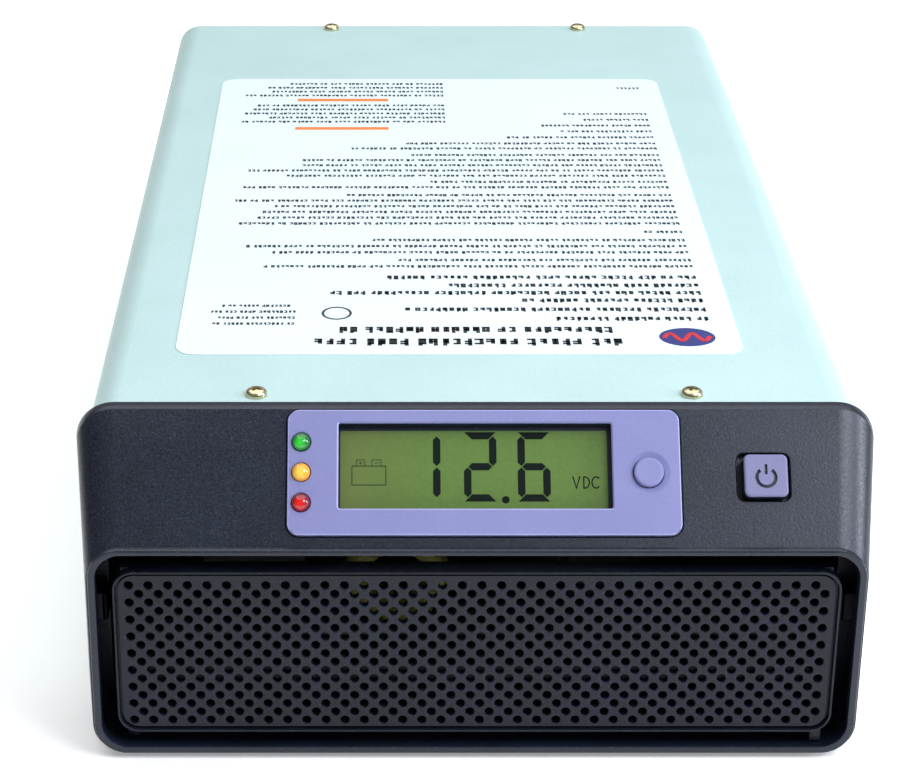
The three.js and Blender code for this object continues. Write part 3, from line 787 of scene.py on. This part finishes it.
def power_symbol():
    """The cutters for an open ring with a bar in its gap."""
    x, s = power_key
    centre_s = s - 0.55
    middle, half, taper = 2.35, 0.4, 0.08
    bottom, top = 1.6, 3
    opening = math.radians(38)
    steps = 36
    section = ((-half, bottom), (half, bottom), (half + taper, top), (-half - taper, top))
    arc = bmesh.new()
    rings = []
    for step in range(steps + 1):
        angle = math.pi / 2 + opening + step / steps * 2 * (math.pi - opening)
        ring = []
        for offset, z in section:
            reach = middle + offset
            ring.append(arc.verts.new((x + reach * math.cos(angle), centre_s + reach * math.sin(angle), z)))
        rings.append(ring)
    skin(arc, rings)
    bar_outline = Outline((x - 0.37, x + 0.37), (centre_s + 0.75, centre_s + 3.4), 0.28)
    bar = stack(bar_outline, [(0, bottom), (0, top)], steps=4)
    return [arc, bar]


def power_button():
    x, s = power_key
    cap = Outline((x - 5.45, x + 5.45), (s - 5.45, s + 5.45), 1.5)
    foot = Outline((x - 7.4, x + 7.4), (s - 7.4, s + 7.4), 1.3)
    body = stack(cap, [(0, -4.6), (0, 1.6), (-0.08, 1.9), (-0.28, 2.12), (-0.6, 2.2)], steps=10)
    base = stack(foot, [(-0.2, -4.6), (0, -4.4), (0, -3.1), (-0.2, -2.9)], steps=5)
    bm = combine(body, joined=[base], removed=power_symbol())
    made = piece("power_key_cap", bm, "power_button", face, sharp=40)
    # The cap's sides below its top face take the dark moulding colour as painted shade for the gap round
    # the key.
    refinish(made, "front_moulding", lambda middle, normal: middle.z < 1.65)


def stroke(bm, points, width, height, thickness=0.04):
    """A flat line of the given width through points, standing on a height."""
    path = [Vector(point) for point in points]
    steps = [(far - near).normalized() for near, far in zip(path, path[1:])]
    path[0] -= steps[0] * width / 2
    path[-1] += steps[-1] * width / 2
    top = height + thickness
    rings = []
    for point, before, after in zip(path, [steps[0], *steps], [*steps, steps[-1]]):
        along = (before + after).normalized()
        side = Vector((-along.y, along.x)) * width / 2 / max(along.dot(after), 0.4)
        left, right = point + side, point - side
        section = ((left, height), (right, height), (right, top), (left, top))
        rings.append([bm.verts.new((*corner, z)) for corner, z in section])
    skin(bm, rings)


def slab(bm, corners, height, thickness=0.04):
    """A thin plate with the given outline, standing on a height."""
    rings = [[bm.verts.new((x, y, z)) for x, y in corners] for z in (height, height + thickness)]
    skin(bm, rings)


def digit(bm, lit, right):
    """A seven-segment figure: lit names its segments, a to g clockwise from the top, g in the middle."""
    left, bottom, top, bar, gap = right - 8.2, 12.95, 30.9, 1.85, 0.18
    middle = (bottom + top) / 2
    half = bar / 2

    def upright_bar(x, low, high):
        inner = x + bar if x == left else x - bar
        centre = (x + inner) / 2
        return [(x, low + half), (centre, low), (inner, low + half),
                (inner, high - half), (centre, high), (x, high - half)]

    shapes = {
        "a": [(left + gap, top), (right - gap, top), (right - bar - gap, top - bar),
              (left + bar + gap, top - bar)],
        "d": [(left + gap, bottom), (right - gap, bottom), (right - bar - gap, bottom + bar),
              (left + bar + gap, bottom + bar)],
        "g": [(left + half + gap, middle), (left + bar + gap, middle + half),
              (right - bar - gap, middle + half), (right - half - gap, middle),
              (right - bar - gap, middle - half), (left + bar + gap, middle - half)],
        "b": upright_bar(right, middle + gap, top - gap - half),
        "c": upright_bar(right, bottom + gap + half, middle - gap),
        "e": upright_bar(left, bottom + gap + half, middle - gap),
        "f": upright_bar(left, middle + gap, top - gap - half),
    }
    for name in lit:
        slab(bm, shapes[name], glass_front + 0.01)


def arc_points(centre, radii, start, end, steps=12):
    angles = [math.radians(start + (end - start) * i / steps) for i in range(steps + 1)]
    return [(centre[0] + radii[0] * math.cos(a), centre[1] + radii[1] * math.sin(a)) for a in angles]


def display_figures():
    """The voltage, its unit and a battery mark."""
    bm = bmesh.new()
    height = glass_front + 0.01
    for lit, right in (("bc", -9.0), ("abged", 5.1), ("afgedc", 18.6)):
        digit(bm, lit, right)
    slab(bm, arc_points((7.3, 13.4), (0.95, 0.95), 0, 345, 22), height)
    low, high = 16.4, 19.3
    middle = (low + high) / 2
    letter_v = [(24.2, high), (25.05, low), (25.9, high)]
    bow = arc_points((27.1, middle), (1.2, 1.45), 90, -90)
    letter_d = [(26.9, low), (26.9, high), *bow, (26.9, low)]
    letter_c = arc_points((30.0, middle), (1.05, 1.45), 50, 310)
    for letter in (letter_v, letter_d, letter_c):
        stroke(bm, letter, 0.32, height)
    battery = Outline((-31.2, -22.7), (17.2, 22.1), 0)
    (left, right), (bottom, top) = battery.x, battery.y
    stroke(bm, [(left, bottom), (right, bottom), (right, top), (left, top), (left, bottom)], 0.17, height)
    pole_top, sign_level, thin = 23.7, 22.9, 0.12
    for near, far in ((-30.1, -28.0), (-26.2, -23.9)):
        stroke(bm, [(near, top), (near, pole_top), (far, pole_top), (far, top)], thin, height)
        stroke(bm, [(near + 0.6, sign_level), (far - 0.6, sign_level)], thin, height)
    stroke(bm, [(-29.05, 22.5), (-29.05, 23.3)], thin, height)
    flat_print("lcd_figures", bm, "lcd_glass", face, "lcd_ink")


def display_screen():
    """The glass, and the dark border round the part of it that shows."""
    glass = Outline((-37.4, 36.6), (8.2, 34.4), 0.3)
    levels = [(-0.1, -3.4), (0, -3.3), (0, glass_front - 0.12), (-0.12, glass_front)]
    piece("lcd_screen", stack(glass, levels, steps=3), "lcd_glass", face)
    shown = Outline((window.x[0] + 0.45, window.x[1] - 0.9), (window.y[0] + 0.4, window.y[1] - 1.15), 0.3)
    low, high = glass_front - 0.05, glass_front + 0.08
    loop = ((glass, -0.4, low), (glass, -0.4, high), (shown, 0, high), (shown, 0, low))
    rings = [[upright(x, y, z) for x, y in outline.ring(grow, 3)] for outline, grow, z in loop]
    flat_print("lcd_border", closed_loop(rings), "lcd_glass", face, "front_moulding")
    display_figures()


# ---- Case -------------------------------------------------------------------------------------
cover_half = 98.8
cover_top = 85.6
case_rear = 367.5
sheet = 1.2


def cover_section(inset):
    """The cover's cross-section, an inverted U of bent sheet, with its faces drawn in by inset."""
    bend, bottom, steps = 8, 10, 12
    outer, inner = cover_half - inset, cover_half - sheet + inset
    top, under = cover_top - inset, cover_top - sheet + inset
    points = []
    skins = ((outer, top, bend - inset, 1), (inner, under, bend - sheet + inset, -1))
    for reach, height, radius, order in skins:
        path = [(reach, bottom + inset)]
        path += arc_points((reach - radius, height - radius), (radius, radius), 0, 90, steps)
        path += [(-x, z) for x, z in reversed(path)]
        points += path[::order]
    return points


def cover():
    bm = bmesh.new()
    edge = 0.18
    stations = [(edge, cover_front), (0, cover_front + edge), (0, case_rear - edge), (edge, case_rear)]
    rings = [[bm.verts.new((x, y, z)) for x, z in cover_section(inset)] for inset, y in stations]
    skin(bm, rings)
    piece("cover", bm, "top_cover", sharp=50)


def cross_blade(turn):
    """One bar of a cross recess, narrower at its foot."""
    thin = 0.36
    blade = bmesh.new()
    rings = []
    for half, z in ((0.6, 0.4), (1.9, 2.5)):
        corners = ((-half, -thin), (half, -thin), (half, thin), (-half, thin))
        rings.append([blade.verts.new((x, y, z)) for x, y in corners])
    skin(blade, rings)
    blade.transform(Matrix.Rotation(turn, 4, "Z"))
    return blade


def screw_shape():
    """A pan-head screw on z = 0 with a cross recess."""
    shank = [(0, -5), (1.3, -5), (1.45, -4.8), (1.45, 0)]
    side = [(2.78, 0), (2.8, 0.5), (2.7, 0.95), (2.4, 1.35)]
    crown = [(1.9, 1.66), (1.2, 1.84), (0.5, 1.9), (0, 1.9)]
    return combine(lathe(shank + side + crown, 40), removed=[cross_blade(0), cross_blade(math.pi / 2)])


def screws():
    shape = screw_shape()
    rng = random.Random(5)
    for node in sorted(frame["nodes"]):
        if "_screw_" not in node:
            continue
        low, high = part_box(node)
        middle = unit.inverted() @ ((low + high) / 2)
        turn = Matrix.Rotation(rng.uniform(0, math.pi / 2), 4, "Z")
        if node.startswith("cover"):
            place = Matrix.Translation((middle.x, middle.y, cover_top + 0.05)) @ turn
        else:
            side = 1 if middle.x > 0 else -1
            out = Matrix.Rotation(side * math.pi / 2, 4, "Y")
            place = Matrix.Translation((side * (cover_half + 0.05), middle.y, middle.z)) @ out @ turn
        copy = shape.copy()
        copy.transform(place)
        piece(node + "_head", copy, node)
    shape.free()


# ---- Label ------------------------------------------------------------------------------------
label_top = cover_top + 0.25


def label_sheet():
    outline = Outline((-78.8, 73), (63.1, 301.8), 5.5)
    bm = stack(outline, [(0, cover_top + 0.05), (0, label_top - 0.06), (-0.1, label_top)], steps=10)
    piece("label_sheet", bm, "rating_label", sharp=60)


def bar_mark(bm, x, y, width, height):
    """A printed bar, from x towards -x and from y towards the front."""
    corners = [(x, y), (x - width, y), (x - width, y - height), (x, y - height)]
    slab(bm, corners, label_top + 0.005, 0.015)


def greek_line(bm, rng, y, start, end, height):
    """A line of made-up marks that only looks like print. It runs from start towards -x, with its
    foot towards the rear."""
    x = start
    while x > end:
        for _ in range(rng.randint(2, 9)):
            if x < end:
                break
            thick = height * 0.2
            wide = height * rng.uniform(0.3, 0.44)
            for stem_x in rng.choice(((x,), (x, x - wide + thick))):
                bar_mark(bm, stem_x, y, thick, height * rng.choice((0.62, 0.62, 0.85)))
            for level in rng.sample((0.0, 0.25, 0.5), 2):
                bar_mark(bm, x, y - height * level, wide, thick)
            x -= height * 0.55
        x -= height * 0.3


def label_lines(rng):
    """The label's lines of print, as (y, start, end, letter height)."""
    small, medium, margin = 2.5, 3.4, 66
    lines = [(73.5, 41, -42, 5.6), (81.5, 39, -34, 5.0)]
    headings = ((88.5, 24), (95, -16), (101.5, 16), (107, -38), (112.5, -6), (118.5, -22))
    lines += [(y, margin, end, medium) for y, end in headings]
    paragraphs = ((126.5, 2, -66), (137.5, 3, -72), (154, 1, 6), (161, 6, -70), (192.5, 2, -68),
                  (203, 5, -66), (229, 2, -44))
    for top, count, end in paragraphs:
        for i in range(count):
            stop = end + rng.uniform(0, 18) if i < count - 1 else end + rng.uniform(20, 70)
            lines.append((top + i * 4.9, margin, stop, small))
    short_lines = ((240, 48), (246, 30), (252, 36), (258, 22), (264, 28), (292, 8))
    lines += [(y, margin, margin - length, small) for y, length in short_lines]
    for top, count in ((256, 5), (284, 4)):
        lines += [(top + i * 4.3, -2, -70 + rng.uniform(0, 18), small) for i in range(count)]
    lines += [(84.5 + i * 4.2, -46 - rng.uniform(0, 3), -72 + rng.uniform(0, 4), 2.1) for i in range(4)]
    return lines


def label_print():
    rng = random.Random(11)
    bm = bmesh.new()
    for y, start, end, height in label_lines(rng):
        greek_line(bm, rng, y, start, end, height)
    outer, inner = [arc_points((-36, 91), radii, 0, 345, 23) for radii in ((4.2, 4.6), (3.5, 3.8))]
    loop = ((outer, 0.002), (outer, 0.02), (inner, 0.02), (inner, 0.002))
    rings = [[bm.verts.new((x, y, label_top + z)) for x, y in points] for points, z in loop]
    skin(bm, rings + [rings[0]], ends=False)
    flat_print("label_print", bm, "rating_label", unit, "ink_black")
    bars = bmesh.new()
    for y in (249.5, 279.5):
        bar_mark(bars, -21, y, 31, 2.8)
    flat_print("label_bars", bars, "rating_label", unit, "ink_orange")


def label_badge():
    """An oval with a sine wave across it."""
    x, y = 58.8, 74.5
    badge = bmesh.new()
    slab(badge, arc_points((x, y), (7.6, 6.2), 0, 352, 44), label_top + 0.005, 0.015)
    flat_print("label_badge", badge, "rating_label", unit, "ink_blue")
    wave = bmesh.new()
    sine = [(x + i / 4, y + 2.4 * math.sin(i / 4 * math.pi / 3)) for i in range(-24, 25)]
    stroke(wave, sine, 1.3, label_top + 0.025)
    flat_print("label_badge_wave", wave, "rating_label", unit, "ink_red")


# ---- Rear fittings ----------------------------------------------------------------------------
terminal_x = {"positive": 52, "negative": 82}
terminal_z = 32
ground_place = (44, 68)
wiring_plate = Outline((-92, -38), (16, 70), 3)
knockouts = ((-78, 36), (-52, 36))
overall_depth = 385.5


def threaded_rod(centre, radius, depths, thread_from, pitch):
    """A rod along Y, ringed with thread from a depth to its bevelled outer end."""
    start, end = depths
    profile = [(0, start), (radius - 0.3, start), (radius - 0.3, thread_from)]
    turns = int((end - 0.8 - thread_from) / pitch)
    for turn in range(turns):
        foot = thread_from + turn * pitch
        profile += [(radius, foot + pitch * 0.45), (radius, foot + pitch * 0.55)]
        profile.append((radius - 0.35, foot + pitch))
    profile += [(radius - 0.3, end - 0.6), (radius - 0.9, end), (0, end)]
    return lathe(profile, 48, centre, facing_front)


def hexagon_nut(centre, corner, bore, depths):
    """A nut along Y whose corners are bevelled off at both ends."""
    sides = 72
    flat = corner * math.cos(math.pi / 6)

    def ring(limit, depth):
        points = []
        for i in range(sides):
            angle = i / sides * 2 * math.pi
            reach = min(flat / math.cos(angle % (math.pi / 3) - math.pi / 6), limit)
            x, z = centre[0] + reach * math.cos(angle), centre[1] + reach * math.sin(angle)
            points.append(facing_front(x, z, depth))
        return points

    start, end = depths
    levels = [(flat * 0.97, start), (corner, start + 0.5), (corner, end - 0.5), (flat * 0.97, end)]
    bores = [(bore + 0.3, end), (bore, end - 0.4), (bore, start + 0.4), (bore + 0.3, start)]
    outside = [ring(*level) for level in levels]
    inside = [circle(centre, *level, sides, facing_front) for level in bores]
    return closed_loop(outside + inside)


def washer(centre, radius, bore, depths):
    start, end = depths
    profile = [(radius - 0.15, start), (radius, start + 0.15), (radius, end - 0.15),
               (radius - 0.15, end), (bore, end), (bore, start)]
    return closed_loop([circle(centre, *level, 64, facing_front) for level in profile])


def terminals():
    for pole, x in terminal_x.items():
        centre = (x, terminal_z)
        rod = threaded_rod(centre, 4, (350, overall_depth), 378.2, 1.25)
        seat = washer(centre, 9, 3.5, (375.7, 378))
        piece(f"dc_stud_{pole}_thread", merge(rod, seat), f"dc_stud_{pole}")
        nut = hexagon_nut(centre, 7.4, 4.1, (379.7, 384.5))
        piece(f"dc_nut_{pole}_hexagon", nut, f"dc_nut_{pole}")
    rod = threaded_rod(ground_place, 2.5, (358, 378), 372.6, 0.8)
    seat = washer(ground_place, 7, 2.3, (367.6, 368.6))
    nut = hexagon_nut(ground_place, 5.2, 2.3, (368.7, 372.4))
    piece("ground_stud_thread", merge(rod, seat, nut), "ground_stud")


def rear_screws(places, depth):
    """Screw heads that face the rear, standing on a depth."""
    heads = []
    for turn, (x, z) in enumerate(places):
        head = screw_shape()
        head.transform(Matrix.Translation((x, depth, z)) @ Matrix.Rotation(-math.pi / 2, 4, "X")
                       @ Matrix.Rotation(0.4 + turn * 0.9, 4, "Z"))
        heads.append(head)
    return merge(*heads)


def wiring_cover():
    front, back = case_rear + 0.1, case_rear + 1.6
    levels = [(-0.1, front), (0, front + 0.1), (0, back - 0.35), (-0.12, back - 0.1), (-0.35, back)]
    plate = stack(wiring_plate, levels, facing_front)
    groove = ((9.9, back - 0.6), (10.5, back - 0.6), (10.7, back + 0.2), (9.7, back + 0.2))
    grooves = [closed_loop([circle(centre, *level, 64, facing_front) for level in groove])
               for centre in knockouts]
    piece("wiring_cover_plate", combine(plate, removed=grooves), "wiring_cover", sharp=40)
    heads = rear_screws([(-65, 66.4), (-65, 19.6)], back)
    piece("wiring_cover_screws", heads, "wiring_cover", material="screw_plate", replaces=False)


def fan_screws():
    low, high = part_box("fan_guard")
    middle = unit.inverted() @ ((low + high) / 2)
    places = [(middle.x + x, middle.z + z) for x in (-25, 25) for z in (-25, 25)]
    heads = rear_screws(places, case_rear + 1.6)
    piece("fan_screws", heads, "fan_guard", material="screw_plate", replaces=False)


# ---- Inside -----------------------------------------------------------------------------------
def squarish(value):
    """A sine or cosine pushed out towards -1 and 1, which makes a circle squarer."""
    return math.copysign(abs(value) ** 0.7, value)


def wound_ring(node, axis, turns=34):
    """A ring core under a close winding of round wire."""
    low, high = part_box(node)
    centre = unit.inverted() @ ((low + high) / 2)
    size = (high - low) / mm
    thickness, outer = (size.z, size.x / 2) if axis == "Z" else (size.y, size.x / 2)
    inner = outer / 2
    tube, middle = (outer - inner) / 2 - 0.2, (outer + inner) / 2
    bm = bmesh.new()
    steps, section = turns * 6, 20
    rings = []
    for step in range(steps):
        angle = step / steps * 2 * math.pi
        swell = 0.35 * abs(math.sin(angle * turns / 2)) - 0.2
        ring = []
        for i in range(section):
            turn = i / section * 2 * math.pi
            across = middle + (tube + swell) * squarish(math.cos(turn))
            rise = (thickness / 2 - 0.3 + swell) * squarish(math.sin(turn))
            ring.append(bm.verts.new((across * math.cos(angle), across * math.sin(angle), rise)))
        rings.append(ring)
    skin(bm, rings + [rings[0]], ends=False)
    turn_to = Matrix.Identity(4) if axis == "Z" else Matrix.Rotation(math.pi / 2, 4, "X")
    bm.transform(Matrix.Translation(centre) @ turn_to)
    piece(node + "_winding", bm, node, sharp=60)


# ---- Build ------------------------------------------------------------------------------------
add_camera()
make_materials()
add_world()
add_lights()
add_floor()
bezel()
grille()
display_surround()
lamps()
display_key()
power_button()
display_screen()
cover()
screws()
label_sheet()
label_print()
label_badge()
terminals()
wiring_cover()
fan_screws()
wound_ring("input_choke", "Y")
wound_ring("output_choke", "Z")
# Every other node keeps its CAD shape. The tray takes a darker copy of the steel, painted shade inside the
# case.
darker = {"chassis": "shaded_steel"}
for node, cad in frame["nodes"].items():
    if not cad.hide_render:
        refined(node, darker.get(node))
